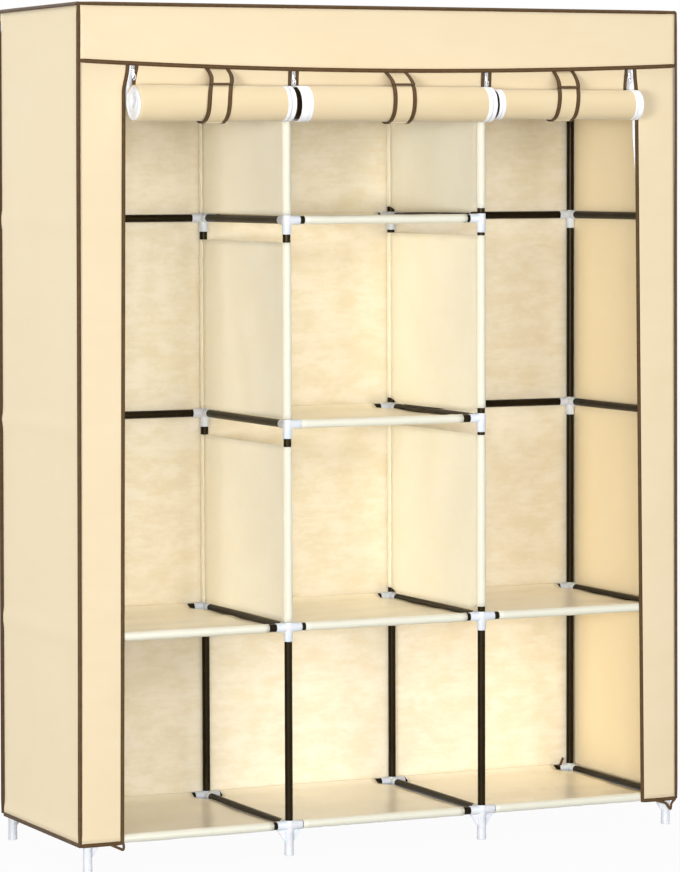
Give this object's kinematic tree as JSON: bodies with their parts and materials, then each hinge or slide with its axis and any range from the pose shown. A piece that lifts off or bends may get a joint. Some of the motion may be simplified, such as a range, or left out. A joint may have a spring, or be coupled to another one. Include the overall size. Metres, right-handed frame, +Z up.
{
  "type": "portable fabric wardrobe",
  "caption": "Free-standing tube-and-connector wardrobe with cloth shelves, dividers, hanging bays and a fabric cover whose doors roll up under a valance.",
  "frame": {"origin": "on the floor under the middle of the whole outline, rolled-up doors included", "axes": "+X to the right, +Y to the back, +Z up; the doors face -Y"},
  "size_m": [1.358, 0.5286, 1.719],
  "materials": {
    "black_tube": "satin",
    "connector_plastic": "satin",
    "cover_cloth": "matte",
    "shelf_cloth": "matte",
    "edge_binding": "matte",
    "zip_tape": "matte",
    "zip_metal": "polished"
  },
  "bodies": {
    "wardrobe": {"side_frame_left": "black_tube", "divider_frame_left": "black_tube", "divider_frame_right": "black_tube", "side_frame_right": "black_tube", "top_frame": "black_tube", "tube_back_bottom_left": "black_tube", "tube_front_bottom_left": "black_tube", "tube_back_bottom_middle": "black_tube", "tube_front_bottom_middle": "black_tube", "tube_back_bottom_right": "black_tube", "tube_front_bottom_right": "black_tube", "tube_back_lower_left": "black_tube", "tube_front_lower_left": "black_tube", "tube_back_lower_middle": "black_tube", "tube_front_lower_middle": "black_tube", "tube_back_lower_right": "black_tube", "tube_front_lower_right": "black_tube", "tube_back_middle_left": "black_tube", "tube_back_middle_middle": "black_tube", "tube_front_middle_middle": "black_tube", "tube_back_middle_right": "black_tube", "tube_back_upper_left": "black_tube", "tube_back_upper_middle": "black_tube", "tube_front_upper_middle": "black_tube", "tube_back_upper_right": "black_tube", "hanging_rail_left": "black_tube", "hanging_rail_right": "black_tube", "shelf_bottom_left": "shelf_cloth", "shelf_bottom_middle": "shelf_cloth", "shelf_bottom_right": "shelf_cloth", "shelf_lower_left": "shelf_cloth", "shelf_lower_middle": "shelf_cloth", "shelf_lower_right": "shelf_cloth", "shelf_middle_middle": "shelf_cloth", "shelf_upper_middle": "shelf_cloth", "divider_lower_left": "shelf_cloth", "divider_middle_left": "shelf_cloth", "divider_upper_left": "shelf_cloth", "divider_lower_right": "shelf_cloth", "divider_middle_right": "shelf_cloth", "divider_upper_right": "shelf_cloth", "cover_top": "cover_cloth", "cover_back": "cover_cloth", "cover_side_left": "cover_cloth", "cover_side_right": "cover_cloth", "cover_front": "cover_cloth", "door_sheet_1": "cover_cloth", "door_sheet_2": "cover_cloth", "door_sheet_3": "cover_cloth", "door_strap_1": "cover_cloth", "door_strap_2": "cover_cloth", "door_strap_3": "cover_cloth"},
    "door_1": {"door_roll_1": "cover_cloth"},
    "door_2": {"door_roll_2": "cover_cloth"},
    "door_3": {"door_roll_3": "cover_cloth"},
    "zip_1": {"zip_slider_1": "zip_metal"},
    "zip_2": {"zip_slider_2": "zip_metal"},
    "zip_3": {"zip_slider_3": "zip_metal"},
    "zip_4": {"zip_slider_4": "zip_metal"}
  },
  "joints": [
    {"name": "door_1_unroll", "type": "slide", "parent": "wardrobe", "child": "door_1", "axis": [0, 0, -1], "range_m": [0, 1.426], "deforming": ["door_sheet_1", "door_strap_1"]},
    {"name": "door_2_unroll", "type": "slide", "parent": "wardrobe", "child": "door_2", "axis": [0, 0, -1], "range_m": [0, 1.426], "deforming": ["door_sheet_2", "door_strap_2"]},
    {"name": "door_3_unroll", "type": "slide", "parent": "wardrobe", "child": "door_3", "axis": [0, 0, -1], "range_m": [0, 1.432], "deforming": ["door_sheet_3", "door_strap_3"]},
    {"name": "zip_1_slide", "type": "slide", "parent": "wardrobe", "child": "zip_1", "axis": [0, 0, -1], "range_m": [0, 1.426]},
    {"name": "zip_2_slide", "type": "slide", "parent": "wardrobe", "child": "zip_2", "axis": [0, 0, -1], "range_m": [0, 1.426]},
    {"name": "zip_3_slide", "type": "slide", "parent": "wardrobe", "child": "zip_3", "axis": [0, 0, -1], "range_m": [0, 1.426]},
    {"name": "zip_4_slide", "type": "slide", "parent": "wardrobe", "child": "zip_4", "axis": [0, 0, -1], "range_m": [0, 1.432]}
  ],
  "couplings": [
    {"joint": "zip_1_slide", "follows": "door_1_unroll", "ratio": 1},
    {"joint": "zip_2_slide", "follows": "door_2_unroll", "ratio": 1},
    {"joint": "zip_3_slide", "follows": "door_2_unroll", "ratio": 1},
    {"joint": "zip_4_slide", "follows": "door_3_unroll", "ratio": 1}
  ]
}
